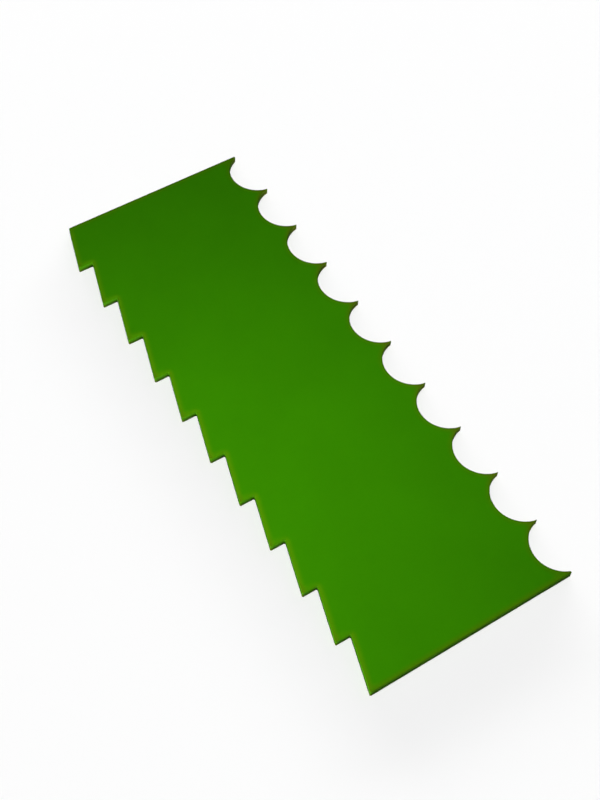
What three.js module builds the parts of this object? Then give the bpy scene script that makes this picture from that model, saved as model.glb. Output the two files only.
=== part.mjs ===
// A flat comb scraper for icing and dough, cut from one sheet of acrylic.
// Saw teeth run down one long edge and round scallops down the other, and both short ends are straight.
// The plate lies on z = 0 with its length along y. The teeth point to -x and the scallops open to +x.
import * as THREE from "three";

// Sheet, in millimetres
const plateLength = 250; // between the two straight ends
const plateWidth = 94; // from the tooth tips to the points between the scallops
const sheetThickness = 3;

// Saw-tooth edge
const toothCount = 11; // fills the whole length
const toothDepth = 6.3; // from the tips to the bottoms of the notches
const toothTipRadius = 0.5;
const notchRadius = 0.5;
const farCornerRadius = 0.7; // where the first flank runs out at the far end

// Scalloped edge
const scallopCount = 10; // fills the whole length
const pointHalfAngle = THREE.MathUtils.degToRad(11); // half the angle of a point between two scallops
const pointRadius = 0.1; // round on such a point
const endPointRadius = 0.5; // round where an outer scallop runs out at a straight end

// Cut edges
const arrisWidth = 0.12; // the sharp edge taken off along both faces
const facetSag = 0.015; // the most that a chord may stray from its arc

const acrylicGreen = 0x338002;

const toothSide = -plateWidth / 2;
const scallopSide = plateWidth / 2;
const farEnd = plateLength / 2;
const nearEnd = -plateLength / 2;
const up = Math.PI / 2;
const down = -Math.PI / 2;

// A rounded outer corner, which the outline passes counter-clockwise.
function corner(x, y, radius, from, to) {
  return new THREE.EllipseCurve(x, y, radius, radius, from, to, false);
}

// A rounded inner corner or a scallop, which the outline passes clockwise.
function hollow(x, y, radius, from, to) {
  return new THREE.EllipseCurve(x, y, radius, radius, from, to, true);
}

// The way a tooth's flank faces. The flank touches the notch behind it and its own tip from opposite sides.
function flankDirection() {
  const radii = toothTipRadius + notchRadius;
  const across = toothDepth - radii;
  const along = plateLength / toothCount - radii;
  const slope = Math.atan2(across, along) + Math.asin(radii / Math.hypot(across, along));
  return Math.PI - slope;
}

// Each tooth slopes out along its flank to the tip, then steps straight back in, facing the near end.
function toothedEdge() {
  const flank = flankDirection();
  const toothPitch = plateLength / toothCount;
  const tipX = toothSide + toothTipRadius;
  const notchX = toothSide + toothDepth - notchRadius;

  const cornerY = farEnd - farCornerRadius;
  const firstTipY = farEnd - toothPitch + toothTipRadius;
  const behindFlank = toothTipRadius - farCornerRadius;
  const cornerX = tipX + (behindFlank - (cornerY - firstTipY) * Math.sin(flank)) / Math.cos(flank);
  const arcs = [corner(cornerX, cornerY, farCornerRadius, up, flank)];

  for (let tooth = 1; tooth <= toothCount; tooth += 1) {
    const stepY = farEnd - tooth * toothPitch;
    arcs.push(corner(tipX, stepY + toothTipRadius, toothTipRadius, flank, down));
    if (tooth < toothCount) {
      arcs.push(hollow(notchX, stepY - notchRadius, notchRadius, up, flank - Math.PI));
    }
  }
  return arcs;
}

// The scallops are arcs of equal circles that meet in points. The circles' centres lie outside the plate.
function scallopedEdge() {
  const halfPitch = plateLength / scallopCount / 2;
  const scallopRadius = halfPitch / Math.cos(pointHalfAngle) - pointRadius;
  const pointX = scallopSide - pointRadius;
  const scallopX = pointX + halfPitch * Math.tan(pointHalfAngle);
  const pointTurn = up - pointHalfAngle;

  const endRise = halfPitch - endPointRadius;
  const endReach = Math.sqrt((scallopRadius + endPointRadius) ** 2 - endRise ** 2);
  const endX = scallopX - endReach;
  const endTurn = Math.atan2(endRise, endReach);

  const arcs = [corner(endX, nearEnd + endPointRadius, endPointRadius, down, endTurn)];
  for (let scallop = 1; scallop <= scallopCount; scallop += 1) {
    const scallopY = nearEnd + (2 * scallop - 1) * halfPitch;
    const isFirst = scallop === 1;
    const isLast = scallop === scallopCount;
    const from = Math.PI + (isFirst ? endTurn : pointTurn);
    const to = Math.PI - (isLast ? endTurn : pointTurn);
    arcs.push(hollow(scallopX, scallopY, scallopRadius, from, to));
    if (!isLast) {
      arcs.push(corner(pointX, scallopY + halfPitch, pointRadius, -pointTurn, pointTurn));
    }
  }
  arcs.push(corner(endX, farEnd - endPointRadius, endPointRadius, -endTurn, up));
  return arcs;
}

// Points along an arc, as few as keep within the sag. Straight runs join one arc to the next.
function arcPoints(arc) {
  const chordAngle = 2 * Math.acos(1 - facetSag / arc.xRadius);
  const sweep = arc.getLength() / arc.xRadius;
  return arc.getPoints(Math.ceil(sweep / chordAngle));
}

function combPlate() {
  const outline = new THREE.Shape([...toothedEdge(), ...scallopedEdge()].flatMap(arcPoints));
  const arris = Math.min(arrisWidth, pointRadius / 2);
  const geometry = new THREE.ExtrudeGeometry(outline, {
    depth: sheetThickness - 2 * arris,
    bevelEnabled: true,
    bevelThickness: arris,
    bevelSize: arris,
    bevelOffset: -arris,
    bevelSegments: 1,
  });
  geometry.translate(0, 0, arris);
  const acrylic = new THREE.MeshStandardMaterial({ color: acrylicGreen, roughness: 0.15, metalness: 0 });
  const plate = new THREE.Mesh(geometry, acrylic);
  plate.name = "comb_plate";
  return plate;
}

const scraper = new THREE.Group();
scraper.add(combPlate());

export default scraper;
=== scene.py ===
"""A green acrylic comb scraper, cut from one sheet.

Saw teeth run down one long edge and round scallops down the other.
"""
import math
from typing import NamedTuple

import bpy
from mathutils import Matrix, Vector, geometry, kdtree


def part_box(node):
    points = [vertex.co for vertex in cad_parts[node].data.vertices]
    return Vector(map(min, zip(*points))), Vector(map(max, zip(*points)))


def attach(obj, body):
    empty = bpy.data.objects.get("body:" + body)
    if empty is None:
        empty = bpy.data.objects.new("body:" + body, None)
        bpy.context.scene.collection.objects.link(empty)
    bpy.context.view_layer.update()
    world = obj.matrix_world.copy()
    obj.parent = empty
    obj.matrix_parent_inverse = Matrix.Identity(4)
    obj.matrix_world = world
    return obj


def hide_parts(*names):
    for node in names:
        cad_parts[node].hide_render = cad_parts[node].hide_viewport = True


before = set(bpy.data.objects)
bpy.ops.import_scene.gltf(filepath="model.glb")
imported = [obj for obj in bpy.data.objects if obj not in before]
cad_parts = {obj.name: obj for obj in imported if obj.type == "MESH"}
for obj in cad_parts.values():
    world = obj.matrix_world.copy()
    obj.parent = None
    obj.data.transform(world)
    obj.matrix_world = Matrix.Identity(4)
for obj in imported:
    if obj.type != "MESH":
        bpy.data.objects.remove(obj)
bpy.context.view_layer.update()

MM = 0.001
UP = math.pi / 2
DOWN = -math.pi / 2

# The plate's box, from the frame
plate_low, plate_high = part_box("comb_plate")
TOOTH_SIDE = plate_low.x
SCALLOP_SIDE = plate_high.x
NEAR_END = plate_low.y
FAR_END = plate_high.y
UNDERSIDE = plate_low.z
UPPER_FACE = plate_high.z
PLATE_LENGTH = FAR_END - NEAR_END
SHEET_THICKNESS = UPPER_FACE - UNDERSIDE

# Saw-tooth edge
TOOTH_COUNT = 11
TOOTH_DEPTH = 6.3 * MM
TOOTH_TIP_RADIUS = 0.5 * MM
NOTCH_RADIUS = 0.5 * MM
FAR_CORNER_RADIUS = 0.7 * MM  # where the first flank runs out at the far end

# Scalloped edge
SCALLOP_COUNT = 10
POINT_HALF_ANGLE = math.radians(11)
POINT_RADIUS = 0.1 * MM
END_POINT_RADIUS = 0.5 * MM  # where an outer scallop runs out at a straight end

# Mesh
ARRIS_RADIUS = 0.2 * MM
ARRIS_SHARE = 0.6  # the most of an outer corner's radius that its arris takes
ARRIS_GROWTH = 0.1  # per unit of length along the edge
ARRIS_STEPS = 4
RUN_STEP = 1.2 * MM
ARC_STEP = math.radians(5)
SMALLEST_ARC_STEPS = 8
FACE_RINGS = [inset * MM for inset in (0.35, 0.6, 1.0, 1.6, 2.6, 4.2, 7.0)]
RING_SPREAD = 0.6  # of a ring's inset, between its points
RING_HOLD = 0.97  # of a ring's inset, which its points keep from the whole edge
FACE_GRID = 9 * MM
GRID_MARGIN = 0.4  # of the grid, past the last ring
SAME_PLACE = 0.001 * MM
MERGE_DISTANCE = 1e-6 * MM  # between points of a face's triangles

# Look along the edge
SCALLOP_RIM = 0.65  # of the dulling that a straight end has
BROWN_REACH = 7.5 * MM  # in from the tips of the points
BROWN_FADE = 6 * MM
TIP_BROWN = 0.6  # of a point's brown
TIP_REACH = 1.5 * MM  # in from the tips of the teeth
STEP_FACING = -0.5  # outward Y of a tooth's wall, below which it is the step
STEP_PAINTED_LIGHT_POWER = 3  # how late along the plate the painted light beside the steps comes up


# Outline of the plate

class Arc(NamedTuple):
    """A round stretch of the outline. A positive turn is an outer corner, a negative one a hollow."""
    centre: Vector
    radius: float
    start: float
    turn: float


class Station(NamedTuple):
    """A point of the outline, the way out of the plate, the length walked so far and the arris."""
    point: Vector
    outward: Vector
    walked: float
    arris: float

    def inset(self, distance):
        """The place at a distance into the plate."""
        return self.point - distance * self.outward


def flank_direction():
    """The way a tooth's flank faces: it touches the notch behind it and its own tip from opposite sides."""
    radii = TOOTH_TIP_RADIUS + NOTCH_RADIUS
    across = TOOTH_DEPTH - radii
    along = PLATE_LENGTH / TOOTH_COUNT - radii
    return math.pi - math.atan2(across, along) - math.asin(radii / math.hypot(across, along))


def toothed_edge():
    """Arcs down the saw teeth, from the far end to the near end."""
    flank = flank_direction()
    pitch = PLATE_LENGTH / TOOTH_COUNT
    tip_x = TOOTH_SIDE + TOOTH_TIP_RADIUS
    notch_x = TOOTH_SIDE + TOOTH_DEPTH - NOTCH_RADIUS
    corner_y = FAR_END - FAR_CORNER_RADIUS
    first_tip_y = FAR_END - pitch + TOOTH_TIP_RADIUS
    behind_flank = TOOTH_TIP_RADIUS - FAR_CORNER_RADIUS
    corner_x = tip_x + (behind_flank - (corner_y - first_tip_y) * math.sin(flank)) / math.cos(flank)
    arcs = [Arc(Vector((corner_x, corner_y)), FAR_CORNER_RADIUS, UP, flank - UP)]
    for tooth in range(1, TOOTH_COUNT + 1):
        step_y = FAR_END - tooth * pitch
        tip = Vector((tip_x, step_y + TOOTH_TIP_RADIUS))
        arcs.append(Arc(tip, TOOTH_TIP_RADIUS, flank, 1.5 * math.pi - flank))
        if tooth < TOOTH_COUNT:
            notch = Vector((notch_x, step_y - NOTCH_RADIUS))
            arcs.append(Arc(notch, NOTCH_RADIUS, UP, flank - math.pi - UP))
    return arcs


def scalloped_edge():
    """Arcs up the scallops, from the near end to the far end."""
    half_pitch = PLATE_LENGTH / SCALLOP_COUNT / 2
    radius = half_pitch / math.cos(POINT_HALF_ANGLE) - POINT_RADIUS
    point_x = SCALLOP_SIDE - POINT_RADIUS
    scallop_x = point_x + half_pitch * math.tan(POINT_HALF_ANGLE)
    point_turn = UP - POINT_HALF_ANGLE
    end_rise = half_pitch - END_POINT_RADIUS
    end_reach = math.sqrt((radius + END_POINT_RADIUS) ** 2 - end_rise ** 2)
    end_turn = math.atan2(end_rise, end_reach)
    end_x = scallop_x - end_reach
    near_point = Vector((end_x, NEAR_END + END_POINT_RADIUS))
    far_point = Vector((end_x, FAR_END - END_POINT_RADIUS))
    arcs = [Arc(near_point, END_POINT_RADIUS, DOWN, end_turn - DOWN)]
    for scallop in range(1, SCALLOP_COUNT + 1):
        centre = Vector((scallop_x, NEAR_END + (2 * scallop - 1) * half_pitch))
        before = end_turn if scallop == 1 else point_turn
        after = end_turn if scallop == SCALLOP_COUNT else point_turn
        arcs.append(Arc(centre, radius, math.pi + before, -before - after))
        if scallop < SCALLOP_COUNT:
            point = Vector((point_x, centre.y + half_pitch))
            arcs.append(Arc(point, POINT_RADIUS, -point_turn, 2 * point_turn))
    arcs.append(Arc(far_point, END_POINT_RADIUS, -end_turn, UP + end_turn))
    return arcs


def walk(arcs):
    """Stations all round the outline, counter-clockwise, on each arc and the straight run to the next."""
    stations = []

    def add(point, outward, arris=ARRIS_RADIUS):
        stride = (point - stations[-1].point).length if stations else 0.0
        if not stations:
            stations.append(Station(point, outward, 0.0, arris))
        elif stride > SAME_PLACE:
            stations.append(Station(point, outward, stations[-1].walked + stride, arris))

    def add_run(end):
        start, outward = stations[-1].point, stations[-1].outward
        steps = math.ceil((end - start).length / RUN_STEP)
        for step in range(1, steps):
            add(start.lerp(end, step / steps), outward)

    for arc in arcs:
        outer = arc.turn > 0
        steps = max(SMALLEST_ARC_STEPS, math.ceil(abs(arc.turn) / ARC_STEP))
        arris = min(ARRIS_RADIUS, ARRIS_SHARE * arc.radius) if outer else ARRIS_RADIUS
        for step in range(steps + 1):
            angle = arc.start + arc.turn * step / steps
            spoke = Vector((math.cos(angle), math.sin(angle)))
            point = arc.centre + arc.radius * spoke
            if step == 0 and stations:
                add_run(point)
            add(point, spoke if outer else -spoke, arris)
    add_run(stations[0].point)
    return thin_arris(thin_arris(stations)[::-1])[::-1]


def thin_arris(stations):
    """Stations whose arris grows slowly away from a sharp point."""
    thinned = stations[:1]
    for station in stations[1:]:
        stride = (station.point - thinned[-1].point).length
        arris = min(station.arris, thinned[-1].arris + ARRIS_GROWTH * stride)
        thinned.append(station._replace(arris=arris))
    return thinned


# Mesh of the plate

class EdgeLook(NamedTuple):
    """What the cut, and painted light and shade, do to the colour beside a stretch of the edge, each from 0
    to 1.
    """
    rim: float = 1.0  # how far the face dulls along the edge
    painted_glow: float = 0.0  # painted glow along a tooth's edge
    step: float = 0.0  # painted light beside the step behind a tooth's tip
    shade: float = 0.0  # painted shade beside such a step, deepest towards the near end
    brown: float = 0.0  # tint of a point between two scallops, or of a tooth's tip


class FacePoint(NamedTuple):
    """A point inside a face, its distance to the edge and the look of the edge nearest to it."""
    point: Vector
    gap: float
    look: EdgeLook


def edge_look(station):
    """The look at a station. Points and tips are brown, the painted light beside the steps grows towards
    the far end, and their painted shade towards the near end.
    """
    across, along = station.point
    if not NEAR_END + SAME_PLACE < along < FAR_END - SAME_PLACE:
        return EdgeLook()
    if across > 0:
        left = (BROWN_REACH - (SCALLOP_SIDE - across)) / BROWN_FADE
        brown = min(1.0, max(0.0, left))
        return EdgeLook(rim=SCALLOP_RIM + (1 - SCALLOP_RIM) * brown, brown=brown)
    brown = TIP_BROWN * max(0.0, 1 - (across - TOOTH_SIDE) / TIP_REACH)
    # Every stretch of a tooth gets the painted glow
    if station.outward.y > STEP_FACING:
        return EdgeLook(painted_glow=1.0, brown=brown)
    # Painted light beside a step grows, and its painted shade fades, towards the far end
    share = (along - NEAR_END) / PLATE_LENGTH
    return EdgeLook(painted_glow=1.0, step=share ** STEP_PAINTED_LIGHT_POWER, shade=1 - share, brown=brown)


def face_points(stations, looks):
    """Points inside a face, in rings that follow the edge and then in a coarse grid."""
    edge = kdtree.KDTree(len(stations))
    for index, station in enumerate(stations):
        edge.insert(station.point.to_3d(), index)
    edge.balance()
    found = []

    def measure(point):
        _, index, distance = edge.find(point.to_3d())
        near = stations[index]
        gap = math.copysign(distance, (near.point - point).dot(near.outward))
        return FacePoint(point, gap, looks[index])

    for ring in FACE_RINGS:
        room = RING_SPREAD * ring
        for station in stations:
            spot = measure(station.inset(ring))
            crowded = any((spot.point - other.point).length < room for other in found)
            if spot.gap > RING_HOLD * ring and not crowded:
                found.append(spot)
    corner = Vector((TOOTH_SIDE, NEAR_END))
    columns = int((SCALLOP_SIDE - TOOTH_SIDE) / FACE_GRID)
    rows = int(PLATE_LENGTH / FACE_GRID)
    for row in range(rows):
        for column in range(columns):
            spot = measure(corner + FACE_GRID * Vector((column + 0.5, row + 0.5)))
            if spot.gap > FACE_RINGS[-1] + GRID_MARGIN * FACE_GRID:
                found.append(spot)
    return found


def face_triangles(rim, inner):
    """Triangles over a face, as indices into rim and then inner."""
    flat = [point / MM for point in rim + inner]
    outline = list(range(len(rim)))
    inside_only = 1
    result = geometry.delaunay_2d_cdt(flat, [], [outline], inside_only, MERGE_DISTANCE / MM)
    places, triangles, sources = result[0], result[2], result[3]
    if len(places) != len(flat):
        raise RuntimeError("the face's triangles merged or added points")
    return [[sources[corner][0] for corner in triangle] for triangle in triangles]


def edge_lines():
    """Slope, and whether it is on the upper arris, of each line round the edge from face to face."""
    upper = [UP * step / ARRIS_STEPS for step in range(ARRIS_STEPS + 1)]
    return [(slope, True) for slope in upper] + [(math.pi - slope, False) for slope in upper[::-1]]


def wall_points(stations, lines):
    """Places, normals and insets of the cut wall's points, line after line."""
    places, normals, insets = [], [], []
    for slope, is_upper in lines:
        for station in stations:
            inset = station.arris * (1 - math.sin(slope))
            drop = station.arris * (1 - abs(math.cos(slope)))
            height = UPPER_FACE - drop if is_upper else UNDERSIDE + drop
            rim = station.inset(inset)
            outward = math.sin(slope) * station.outward
            places.append((rim.x, rim.y, height))
            normals.append((outward.x, outward.y, math.cos(slope)))
            insets.append(inset)
    return places, normals, insets


def wall_quads(stations, lines):
    """Quads of the cut wall, and the length walked at each one's corners."""
    count = len(stations)
    length = stations[-1].walked + (stations[0].point - stations[-1].point).length
    quads, runs = [], []
    for line in range(len(lines) - 1):
        top, low = line * count, (line + 1) * count
        for index in range(count):
            after = (index + 1) % count
            quads.append([top + index, low + index, low + after, top + after])
            here = stations[index].walked
            there = stations[after].walked if after else length
            runs.append((here, here, there, there))
    return quads, runs


def plate_mesh():
    """The whole plate: a cut wall with round arrises, and two faces that know how far each point is in."""
    stations = walk(toothed_edge() + scalloped_edge())
    looks = [edge_look(station) for station in stations]
    count = len(stations)
    lines = edge_lines()
    places, normals, gaps = wall_points(stations, lines)
    point_looks = looks * len(lines)
    faces, runs = wall_quads(stations, lines)

    inner = face_points(stations, looks)
    rim = [station.inset(station.arris) for station in stations]
    triangles = face_triangles(rim, [spot.point for spot in inner])
    for line, height, facing in ((0, UPPER_FACE, 1), (len(lines) - 1, UNDERSIDE, -1)):
        first_inner = len(places)
        for spot in inner:
            places.append((spot.point.x, spot.point.y, height))
            normals.append((0.0, 0.0, facing))
            gaps.append(spot.gap)
            point_looks.append(spot.look)
        for triangle in triangles:
            corners = [line * count + i if i < count else first_inner + i - count for i in triangle]
            faces.append(corners[::facing])

    mesh = bpy.data.meshes.new("comb_plate_fine")
    mesh.from_pydata(places, [], faces)
    store_cut_run(mesh, runs)
    store_per_point(mesh, "edge_gap", [gap / MM for gap in gaps])
    for field, values in zip(EdgeLook._fields, zip(*point_looks)):
        store_per_point(mesh, "edge_" + field, values)
    for polygon in mesh.polygons:
        polygon.use_smooth = True
        polygon.material_index = 1 if polygon.index < len(runs) else 0
    mesh.normals_split_custom_set_from_vertices(normals)
    return mesh


def store_per_point(mesh, name, values):
    """Keeps a value for each point, where a material can read it."""
    layer = mesh.attributes.new(name, "FLOAT", "POINT")
    layer.data.foreach_set("value", values)


def store_cut_run(mesh, runs):
    """Millimetres along the cut and up the sheet on the wall, or across and along the plate on a face."""
    layer = mesh.uv_layers.new(name="cut_run")
    for polygon in mesh.polygons:
        for corner, loop in enumerate(polygon.loop_indices):
            place = mesh.vertices[mesh.loops[loop].vertex_index].co
            if polygon.index < len(runs):
                layer.data[loop].uv = (runs[polygon.index][corner] / MM, (place.z - UNDERSIDE) / MM)
            else:
                layer.data[loop].uv = (place.x / MM, place.y / MM)


# Colours, as display values from 0 to 255

def display(red, green, blue):
    """A display colour as the linear one that a shader takes."""
    def linear(value):
        share = value / 255
        return share / 12.92 if share <= 0.04045 else ((share + 0.055) / 1.055) ** 2.4
    return (linear(red), linear(green), linear(blue), 1.0)


SHEET_GREEN = display(54, 132, 1)
RIM_OLIVE = display(86, 116, 6)
RIM_DARK = display(62, 92, 12)
POINT_BROWN = display(84, 104, 14)
# Painted glow along the teeth
TOOTH_PAINTED_GLOW = display(100, 145, 4)
# Painted light beside the steps
STEP_PAINTED_LIGHT = display(74, 152, 4)
# The cut wall's painted light high up, and its painted shade low down
CUT_PAINTED_LIGHT = display(72, 142, 3)
CUT_PAINTED_SHADE = display(48, 84, 8)
# Painted shade in the notches
CUT_NOTCH_PAINTED_SHADE = display(24, 50, 3)
CUT_POINT = display(96, 106, 24)


# Shader helpers

NODE_WIDTH = 220
NODE_HEIGHT = 240
MIX_SOCKETS = {"RGBA": (0, 6, 7, 2), "FLOAT": (0, 2, 3, 0)}  # factor, first, second and result
WHOLE = (0.0, 1.0)


def put_node(node, column, row):
    """Lays a node out in the editor's grid."""
    node.location = (NODE_WIDTH * column, -NODE_HEIGHT * row)


def add_node(tree, kind, column, row, **settings):
    """A new node with the settings given."""
    node = tree.nodes.new(kind)
    put_node(node, column, row)
    for name, value in settings.items():
        setattr(node, name, value)
    return node


def feed(tree, socket, value):
    """Gives a socket another node's output, or a value of its own."""
    if isinstance(value, bpy.types.NodeSocket):
        tree.links.new(value, socket)
    else:
        socket.default_value = value


def add_math(tree, operation, column, row, first, second):
    """A sum, a product or the like. Each operand is a socket or a number."""
    node = add_node(tree, "ShaderNodeMath", column, row, operation=operation)
    feed(tree, node.inputs[0], first)
    feed(tree, node.inputs[1], second)
    return node.outputs["Value"]


def add_mix(tree, column, row, factor, first, second, kind="RGBA"):
    """A mix of two colours, or of two numbers. Each operand is a socket or a value."""
    node = add_node(tree, "ShaderNodeMix", column, row, data_type=kind)
    *operands, result = MIX_SOCKETS[kind]
    for index, value in zip(operands, (factor, first, second)):
        feed(tree, node.inputs[index], value)
    return node.outputs[result]


def add_range(tree, column, row, value, limits, results):
    """Passes smoothly from the first result to the second, as the value passes between its limits."""
    node = add_node(tree, "ShaderNodeMapRange", column, row, interpolation_type="SMOOTHSTEP")
    tree.links.new(value, node.inputs["Value"])
    for name, number in zip(("From Min", "From Max", "To Min", "To Max"), (*limits, *results)):
        node.inputs[name].default_value = number
    return node.outputs["Result"]


def add_noise(tree, column, row, place, scale, detail):
    """A cloudy value from 0 to 1, mostly near the middle."""
    node = add_node(tree, "ShaderNodeTexNoise", column, row)
    tree.links.new(place, node.inputs["Vector"])
    node.inputs["Scale"].default_value = scale
    node.inputs["Detail"].default_value = detail
    return node.outputs["Fac"]


def add_scaled(tree, column, row, colour, level):
    """A colour made lighter or darker by a level."""
    node = add_node(tree, "ShaderNodeVectorMath", column, row, operation="SCALE")
    tree.links.new(colour, node.inputs[0])
    tree.links.new(level, node.inputs["Scale"])
    return node.outputs["Vector"]


def add_split(tree, column, row, vector):
    """The X, Y and Z of a vector."""
    node = add_node(tree, "ShaderNodeSeparateXYZ", column, row)
    tree.links.new(vector, node.inputs["Vector"])
    return node.outputs


def object_place(tree, row):
    """Where a point of the surface is, in metres from the plate's origin."""
    return add_node(tree, "ShaderNodeTexCoord", 0, row).outputs["Object"]


def mesh_value(tree, row, name):
    """A value that the mesh stores for each of its points."""
    return add_node(tree, "ShaderNodeAttribute", 0, row, attribute_name=name).outputs["Fac"]


def new_group(name, inputs, outputs):
    """An empty node group with its entry and its exit."""
    group = bpy.data.node_groups.new(name, "ShaderNodeTree")
    for label, kind in inputs:
        group.interface.new_socket(label, in_out="INPUT", socket_type=kind)
    for label, kind in outputs:
        group.interface.new_socket(label, in_out="OUTPUT", socket_type=kind)
    entry = add_node(group, "NodeGroupInput", -1, 0)
    leave = add_node(group, "NodeGroupOutput", 8, 0)
    return group, entry, leave


def use_group(tree, group, column, row):
    """A node that stands for a whole group."""
    return add_node(tree, "ShaderNodeGroup", column, row, node_tree=group)


# Effects that both materials share

NOISE_SPAN = (0.3, 0.7)  # in which nearly all of a noise lies

DRIFT_SCALE = 28.0  # per metre
DRIFT_LEVELS = (0.975, 1.025)
GRAIN_SCALE = 1400.0  # per metre
GRAIN_LEVELS = (0.985, 1.015)

SMEAR_SCALE = 60.0  # per metre
SMEAR_NOISE = (0.45, 0.75)
SMEAR_ROUGHNESS = 0.06
HAIRLINE_SETS = ((24.0, 33 * MM), (-63.0, 45 * MM), (81.0, 25 * MM))  # turn in degrees, and length
HAIRLINE_WIDTH = 0.4 * MM
HAIRLINE_HEIGHT = 2.5 * MM  # up the cut wall
HAIRLINE_NOISE = (0.70, 0.78)
HAIRLINE_ROUGHNESS = 0.1


def cast_sheet_group():
    """The slight drift of tint and the fine grain of pigment in a cast sheet."""
    group, entry, leave = new_group(
        "cast_sheet", [("Colour", "NodeSocketColor")], [("Colour", "NodeSocketColor")])
    place = object_place(group, 1)
    drift = add_noise(group, 1, 1, place, DRIFT_SCALE, detail=2.0)
    grain = add_noise(group, 1, 2, place, GRAIN_SCALE, detail=3.0)
    drift = add_range(group, 2, 1, drift, NOISE_SPAN, DRIFT_LEVELS)
    grain = add_range(group, 2, 2, grain, NOISE_SPAN, GRAIN_LEVELS)
    level = add_math(group, "MULTIPLY", 3, 1, drift, grain)
    scaled = add_scaled(group, 4, 0, entry.outputs["Colour"], level)
    group.links.new(scaled, leave.inputs["Colour"])
    return group


def handling_marks_group():
    """Faint smears and hairline scratches from wiping, as a roughness and a height."""
    group, entry, leave = new_group(
        "handling_marks", [("Polish", "NodeSocketFloat")],
        [("Roughness", "NodeSocketFloat"), ("Height", "NodeSocketFloat")])
    place = object_place(group, 1)
    smear = add_noise(group, 1, 1, place, SMEAR_SCALE, detail=4.0)
    smear = add_range(group, 2, 1, smear, SMEAR_NOISE, (0.0, SMEAR_ROUGHNESS))
    streaks = []
    for row, (turn, length) in enumerate(HAIRLINE_SETS, start=2):
        lie = add_node(group, "ShaderNodeMapping", 1, row, vector_type="TEXTURE")
        lie.inputs["Rotation"].default_value = (0.0, 0.0, math.radians(turn))
        lie.inputs["Scale"].default_value = (length, HAIRLINE_WIDTH, HAIRLINE_HEIGHT)
        group.links.new(place, lie.inputs["Vector"])
        streak = add_noise(group, 2, row, lie.outputs["Vector"], scale=1.0, detail=1.0)
        streaks.append(add_range(group, 3, row, streak, HAIRLINE_NOISE, WHOLE))
    hairlines = streaks[0]
    for row, streak in enumerate(streaks[1:], start=3):
        hairlines = add_math(group, "MAXIMUM", 4, row, hairlines, streak)
    scratch_roughness = add_math(group, "MULTIPLY", 5, 1, hairlines, HAIRLINE_ROUGHNESS)
    roughness = add_math(group, "ADD", 6, 0, entry.outputs["Polish"], smear)
    roughness = add_math(group, "ADD", 7, 0, roughness, scratch_roughness)
    height = add_math(group, "MULTIPLY", 6, 2, hairlines, -1.0)
    group.links.new(roughness, leave.inputs["Roughness"])
    group.links.new(height, leave.inputs["Height"])
    return group


# Materials

class Band(NamedTuple):
    """A strip of colour along the cut: how many millimetres in it fades and ends, and its strength."""
    full: float
    end: float
    strength: float


RIM_BAND = Band(full=0.2, end=2.7, strength=0.5)
RIM_LINE = Band(full=0.15, end=0.8, strength=0.75)
POINT_FILL = Band(full=0.2, end=1.8, strength=0.9)
# A band of painted light beside each step
STEP_PAINTED_LIGHT_BAND = Band(full=0.6, end=2.0, strength=1.0)
BAND_IN_SHADE = 0.4  # of the band, beside a step in painted shade
LINE_IN_GLOW = 0.4  # of the line, along a tooth's painted glow

LIT_HEIGHTS = (0.25, 0.85)  # of the thickness, between which painted shade low on the cut wall gives way to painted light
LIT_WITHOUT_GLOW = 0.3  # of the painted light on a tooth's wall, that the rest of the cut wall gets
LIT_IN_SHADE = 0.8  # of the painted light on the wall of a step in painted shade
NOTCH_SHADE = 3.5 * MM  # out from the bottom of a notch, over which painted shade deepens into it
CUT_LINE_SCALE = (9.0, 0.25, 1.0)  # per millimetre along the cut and up the sheet
CUT_LINE_LEVELS = (0.9, 1.08)

FACE_ROUGHNESS = 0.07
CUT_ROUGHNESS = 0.3
CUT_SPECULAR = 0.15
ACRYLIC_IOR = 1.49
SUBSURFACE_WEIGHT = 0.25
SUBSURFACE_RADIUS = (0.5, 1.0, 0.2)
SUBSURFACE_SCALE = 1.2 * MM


def new_acrylic(name):
    """A material of solid green acrylic, which lets a little light in under its surface."""
    material = bpy.data.materials.new(name)
    material.use_nodes = True
    tree = material.node_tree
    shader = tree.nodes["Principled BSDF"]
    put_node(shader, 8, 0)
    put_node(tree.nodes["Material Output"], 10, 0)
    shader.inputs["IOR"].default_value = ACRYLIC_IOR
    shader.inputs["Subsurface Weight"].default_value = SUBSURFACE_WEIGHT
    shader.inputs["Subsurface Radius"].default_value = SUBSURFACE_RADIUS
    shader.inputs["Subsurface Scale"].default_value = SUBSURFACE_SCALE
    return material, tree, shader


def add_band(tree, row, gap, band, weight):
    """How much of a band's colour shows, by the distance to the cut and a weight."""
    share = add_range(tree, 1, row, gap, (band.full, band.end), (band.strength, 0.0))
    return add_math(tree, "MULTIPLY", 2, row, share, weight)


def add_marks(tree, shader, handling_marks, polish):
    """Puts the marks of handling into a material's roughness, and gives their height."""
    marks = use_group(tree, handling_marks, 4, 2)
    marks.inputs["Polish"].default_value = polish
    tree.links.new(marks.outputs["Roughness"], shader.inputs["Roughness"])
    return marks.outputs["Height"]


def add_bump(tree, shader, row, height, strength, distance):
    """Lets a height tilt a material's surface."""
    bump = add_node(tree, "ShaderNodeBump", 6, row)
    bump.inputs["Strength"].default_value = strength
    bump.inputs["Distance"].default_value = distance
    tree.links.new(height, bump.inputs["Height"])
    tree.links.new(bump.outputs["Normal"], shader.inputs["Normal"])


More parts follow.
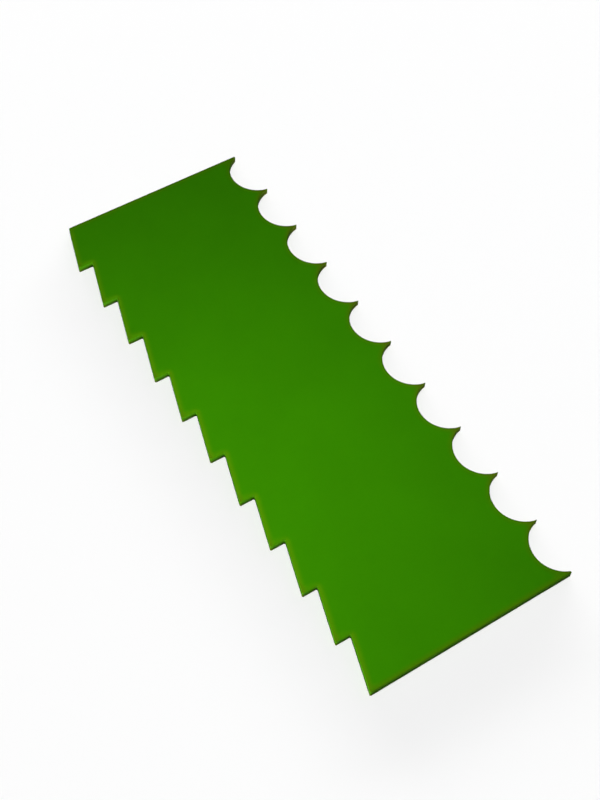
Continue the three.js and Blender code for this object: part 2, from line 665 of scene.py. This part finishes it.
def polished_face(cast_sheet, handling_marks):
    """Either face of the sheet: olive along the cut, a painted glow along the teeth and painted light
    beside the steps, with a dark rim.
    """
    material, tree, shader = new_acrylic("polished_acrylic_face")
    gap = mesh_value(tree, 1, "edge_gap")
    rim = mesh_value(tree, 2, "edge_rim")
    painted_glow = mesh_value(tree, 3, "edge_painted_glow")
    step = mesh_value(tree, 4, "edge_step")
    brown = mesh_value(tree, 5, "edge_brown")
    shade = mesh_value(tree, 6, "edge_shade")
    # The band is olive, but along the teeth it is painted glow
    band_colour = add_mix(tree, 1, 3, painted_glow, RIM_OLIVE, TOOTH_PAINTED_GLOW)
    band = add_band(tree, 2, gap, RIM_BAND, rim)
    # Less of the band beside a step in painted shade
    band_left = add_range(tree, 2, 5, shade, WHOLE, (1.0, BAND_IN_SHADE))
    band = add_math(tree, "MULTIPLY", 3, 2, band, band_left)
    line_colour = add_mix(tree, 1, 5, brown, RIM_DARK, POINT_BROWN)
    line = add_band(tree, 1, gap, RIM_LINE, rim)
    line_left = add_range(tree, 2, 3, painted_glow, WHOLE, (1.0, LINE_IN_GLOW))
    line = add_math(tree, "MULTIPLY", 3, 1, line, line_left)
    fill = add_band(tree, 6, gap, POINT_FILL, brown)
    # Painted light beside the steps
    painted_step_light = add_band(tree, 4, gap, STEP_PAINTED_LIGHT_BAND, step)

    sheet = use_group(tree, cast_sheet, 2, 0)
    sheet.inputs["Colour"].default_value = SHEET_GREEN
    banded = add_mix(tree, 3, 0, band, sheet.outputs["Colour"], band_colour)
    rimmed = add_mix(tree, 4, 0, line, banded, line_colour)
    filled = add_mix(tree, 5, 0, fill, rimmed, POINT_BROWN)
    stepped = add_mix(tree, 6, 0, painted_step_light, filled, STEP_PAINTED_LIGHT)
    tree.links.new(stepped, shader.inputs["Base Color"])

    scratches = add_marks(tree, shader, handling_marks, FACE_ROUGHNESS)
    add_bump(tree, shader, 2, scratches, strength=0.15, distance=0.01 * MM)
    return material


def cut_edge(cast_sheet, handling_marks):
    """The cut wall: painted light high on the teeth, painted shade low down and in the notches, with a
    cutter's lines.
    """
    material, tree, shader = new_acrylic("cut_acrylic_edge")
    shader.inputs["Specular IOR Level"].default_value = CUT_SPECULAR
    painted_glow = mesh_value(tree, 2, "edge_painted_glow")
    brown = mesh_value(tree, 5, "edge_brown")
    shade = mesh_value(tree, 6, "edge_shade")
    run = add_node(tree, "ShaderNodeUVMap", 0, 1, uv_map="cut_run").outputs["UV"]
    height = add_split(tree, 1, 2, run)["Y"]
    # Painted light high on the cut wall, most on the teeth; below it painted shade
    lit_limits = [share * (SHEET_THICKNESS / MM) for share in LIT_HEIGHTS]
    lit = add_range(tree, 2, 2, height, lit_limits, WHOLE)
    lit_share = add_range(tree, 1, 1, painted_glow, WHOLE, (LIT_WITHOUT_GLOW, 1.0))
    lit = add_math(tree, "MULTIPLY", 2, 1, lit, lit_share)
    # Less painted light on the wall of a step in painted shade
    lit_left = add_range(tree, 1, 6, shade, WHOLE, (1.0, LIT_IN_SHADE))
    lit = add_math(tree, "MULTIPLY", 2, 6, lit, lit_left)
    # Painted shade deepens towards the bottom of each notch, on the teeth only
    across = add_split(tree, 1, 4, object_place(tree, 4))["X"]
    notch = TOOTH_SIDE + TOOTH_DEPTH
    painted_notch_shade = add_range(tree, 2, 4, across, (notch - NOTCH_SHADE, notch), WHOLE)
    painted_notch_shade = add_math(tree, "MULTIPLY", 3, 4, painted_notch_shade, painted_glow)
    painted_shade_low = add_mix(tree, 3, 1, painted_notch_shade, CUT_PAINTED_SHADE, CUT_NOTCH_PAINTED_SHADE)
    painted_shade_low = add_mix(tree, 4, 1, brown, painted_shade_low, CUT_POINT)
    lines_lie = add_node(tree, "ShaderNodeMapping", 1, 3)
    lines_lie.inputs["Scale"].default_value = CUT_LINE_SCALE
    tree.links.new(run, lines_lie.inputs["Vector"])
    lines = add_noise(tree, 2, 3, lines_lie.outputs["Vector"], scale=1.0, detail=2.0)

    # The wall goes from painted shade low down to painted light high up
    wall = add_mix(tree, 3, 0, lit, painted_shade_low, CUT_PAINTED_LIGHT)
    sheet = use_group(tree, cast_sheet, 4, 0)
    tree.links.new(wall, sheet.inputs["Colour"])
    line_level = add_range(tree, 3, 3, lines, NOISE_SPAN, CUT_LINE_LEVELS)
    lined = add_scaled(tree, 5, 0, sheet.outputs["Colour"], line_level)
    tree.links.new(lined, shader.inputs["Base Color"])

    add_marks(tree, shader, handling_marks, CUT_ROUGHNESS)
    add_bump(tree, shader, 3, lines, strength=0.3, distance=0.02 * MM)
    return material


def comb_plate():
    """The plate with its two materials, tied to the frame."""
    plate = bpy.data.objects.new("acrylic_comb_plate", plate_mesh())
    bpy.context.scene.collection.objects.link(plate)
    cast_sheet = cast_sheet_group()
    handling_marks = handling_marks_group()
    plate.data.materials.append(polished_face(cast_sheet, handling_marks))
    plate.data.materials.append(cut_edge(cast_sheet, handling_marks))
    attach(plate, "root")
    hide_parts("comb_plate")
    return plate


# Stage, light and camera

FLOOR_RADIUS = 3.0
FLOOR_TURN = 5  # degrees between the points of its rim
FLOOR_GAP = 0.05 * MM  # under the plate
PAPER_WHITE = (0.95, 0.95, 0.95, 1.0)
PAPER_ROUGHNESS = 0.9

WHITE = (1.0, 1.0, 1.0, 1.0)
HORIZON_LEVEL = 0.45
CEILING_LEVEL = 0.004
CEILING_RISE = (0.25, 0.62)  # of a ray, from the horizon's level to the ceiling's
FLOOR_RISE = (-0.02, 0.02)  # of a ray, below which nothing is mirrored
FILL_LEVEL = 0.03

CAMERA_AIM = Vector((-0.56, -3.84, 0.0)) * MM
CAMERA_DISTANCE = 555.0 * MM
CAMERA_AZIMUTH = math.radians(34.19)
CAMERA_ELEVATION = math.radians(56.13)
CAMERA_ROLL = math.radians(2.48)
CAMERA_LENS = 60.974  # millimetres


def studio_floor():
    """A wide round of pale paper just under the plate, which the gloss of the plate doesn't show."""
    height = UNDERSIDE - FLOOR_GAP
    turns = [math.radians(turn) for turn in range(0, 360, FLOOR_TURN)]
    rim = [(FLOOR_RADIUS * math.cos(turn), FLOOR_RADIUS * math.sin(turn), height) for turn in turns]
    mesh = bpy.data.meshes.new("studio_floor")
    mesh.from_pydata(rim, [], [range(len(rim))])
    floor = bpy.data.objects.new("studio_floor", mesh)
    bpy.context.scene.collection.objects.link(floor)
    material = bpy.data.materials.new("pale_paper")
    material.use_nodes = True
    shader = material.node_tree.nodes["Principled BSDF"]
    shader.inputs["Base Color"].default_value = PAPER_WHITE
    shader.inputs["Roughness"].default_value = PAPER_ROUGHNESS
    shader.inputs["Specular IOR Level"].default_value = 0.0
    mesh.materials.append(material)
    floor.visible_glossy = False
    return floor


def add_lamp(name, kind, place, aim, power):
    """A lamp at a place in metres, turned to its aim."""
    data = bpy.data.lights.new(name, kind)
    data.energy = power
    lamp = bpy.data.objects.new(name, data)
    lamp.location = place
    lamp.rotation_euler = (Vector(aim) - Vector(place)).to_track_quat("-Z", "Y").to_euler()
    bpy.context.scene.collection.objects.link(lamp)
    return lamp


def add_sun(name, azimuth, elevation, level, angle):
    """A soft far lamp, with its angles in degrees.

    The level is how bright it makes a white surface that lies flat.
    """
    turn = math.radians(azimuth)
    rise = math.radians(elevation)
    place = (math.sin(turn) * math.cos(rise), math.cos(turn) * math.cos(rise), math.sin(rise))
    sun = add_lamp(name, "SUN", place, (0, 0, 0), math.pi * level / place[2])
    sun.data.angle = math.radians(angle)
    return sun


def add_disc(name, place, aim, power, width):
    """A round lamp."""
    disc = add_lamp(name, "AREA", place, aim, power)
    disc.data.shape = "DISK"
    disc.data.size = width
    return disc


def add_strip(name, place, aim, power, width, height):
    """An oblong lamp."""
    strip = add_lamp(name, "AREA", place, aim, power)
    strip.data.shape = "RECTANGLE"
    strip.data.size = width
    strip.data.size_y = height
    return strip


def light_only(lamp, receiver, blocker=None):
    """Keeps a lamp to one object, and lets only the blocker cast its shadow if one is given."""
    group = bpy.data.collections.new(lamp.name + "_lights")
    group.objects.link(receiver)
    lamp.light_linking.receiver_collection = group
    if blocker:
        shade = bpy.data.collections.new(lamp.name + "_blockers")
        shade.objects.link(blocker)
        lamp.light_linking.blocker_collection = shade


def light_plate(plate):
    """A soft sun, and two lamps that brighten the face and the cut wall on the tooth side."""
    overhead = add_sun("plate_overhead", azimuth=225, elevation=60, level=0.29, angle=50)
    light_only(overhead, plate)
    face = add_disc(
        "plate_face_lamp", place=(-0.066, -0.031, 0.218), aim=(-0.066, -0.031, 0), power=0.378, width=0.08)
    face.visible_glossy = False
    light_only(face, plate)
    side = add_strip(
        "plate_tooth_side_strip", place=(-0.28, -0.14, 0.03), aim=(0, -0.06, 0), power=0.55,
        width=0.2, height=0.04)
    side.visible_glossy = False
    light_only(side, plate)


def light_floor(floor):
    """A shadowless wash, and two low lamps for which the plate casts its soft shade."""
    wash = add_sun("floor_wash", azimuth=0, elevation=90, level=0.88, angle=40)
    light_only(wash, floor, floor)
    contact = add_sun("floor_contact", azimuth=80, elevation=30, level=0.02, angle=30)
    light_only(contact, floor)
    low = add_strip(
        "floor_low_strip", place=(4.0, 6.93, 0.6), aim=(0, 0, 0), power=1180, width=11.0, height=0.48)
    light_only(low, floor)


def set_world():
    """White to the camera, a pale horizon under a dark ceiling in reflections, and a dim fill elsewhere."""
    world = bpy.data.worlds.new("studio")
    bpy.context.scene.world = world
    world.use_nodes = True
    tree = world.node_tree
    path = add_node(tree, "ShaderNodeLightPath", 0, 0).outputs
    way = add_node(tree, "ShaderNodeTexCoord", 0, 2).outputs["Generated"]
    rise = add_split(tree, 1, 2, way)["Z"]
    fade = add_range(tree, 2, 2, rise, CEILING_RISE, (HORIZON_LEVEL, CEILING_LEVEL))
    above = add_range(tree, 2, 3, rise, FLOOR_RISE, WHOLE)
    mirrored = add_math(tree, "MULTIPLY", 3, 2, fade, above)
    seen = add_math(tree, "MAXIMUM", 1, 1, path["Is Glossy Ray"], path["Is Transmission Ray"])
    level = add_mix(tree, 4, 1, seen, FILL_LEVEL, mirrored, kind="FLOAT")
    strength = add_math(tree, "MAXIMUM", 5, 0, path["Is Camera Ray"], level)
    background = tree.nodes["Background"]
    background.inputs["Color"].default_value = WHITE
    tree.links.new(strength, background.inputs["Strength"])


def add_camera():
    """The photograph's camera, which looks along the plate from its near end and its tooth side."""
    level = math.cos(CAMERA_ELEVATION)
    towards = Vector((
        -math.sin(CAMERA_AZIMUTH) * level, -math.cos(CAMERA_AZIMUTH) * level, math.sin(CAMERA_ELEVATION)))
    data = bpy.data.cameras.new("photo_camera")
    data.lens = CAMERA_LENS
    camera = bpy.data.objects.new("photo_camera", data)
    turn = (-towards).to_track_quat("-Z", "Y").to_matrix() @ Matrix.Rotation(CAMERA_ROLL, 3, "Z")
    place = CAMERA_AIM + CAMERA_DISTANCE * towards
    camera.matrix_world = Matrix.LocRotScale(place, turn.to_quaternion(), None)
    bpy.context.scene.collection.objects.link(camera)
    bpy.context.scene.camera = camera


plate = comb_plate()
floor = studio_floor()
light_plate(plate)
light_floor(floor)
set_world()
add_camera()
bpy.context.scene.view_settings.view_transform = "Standard"
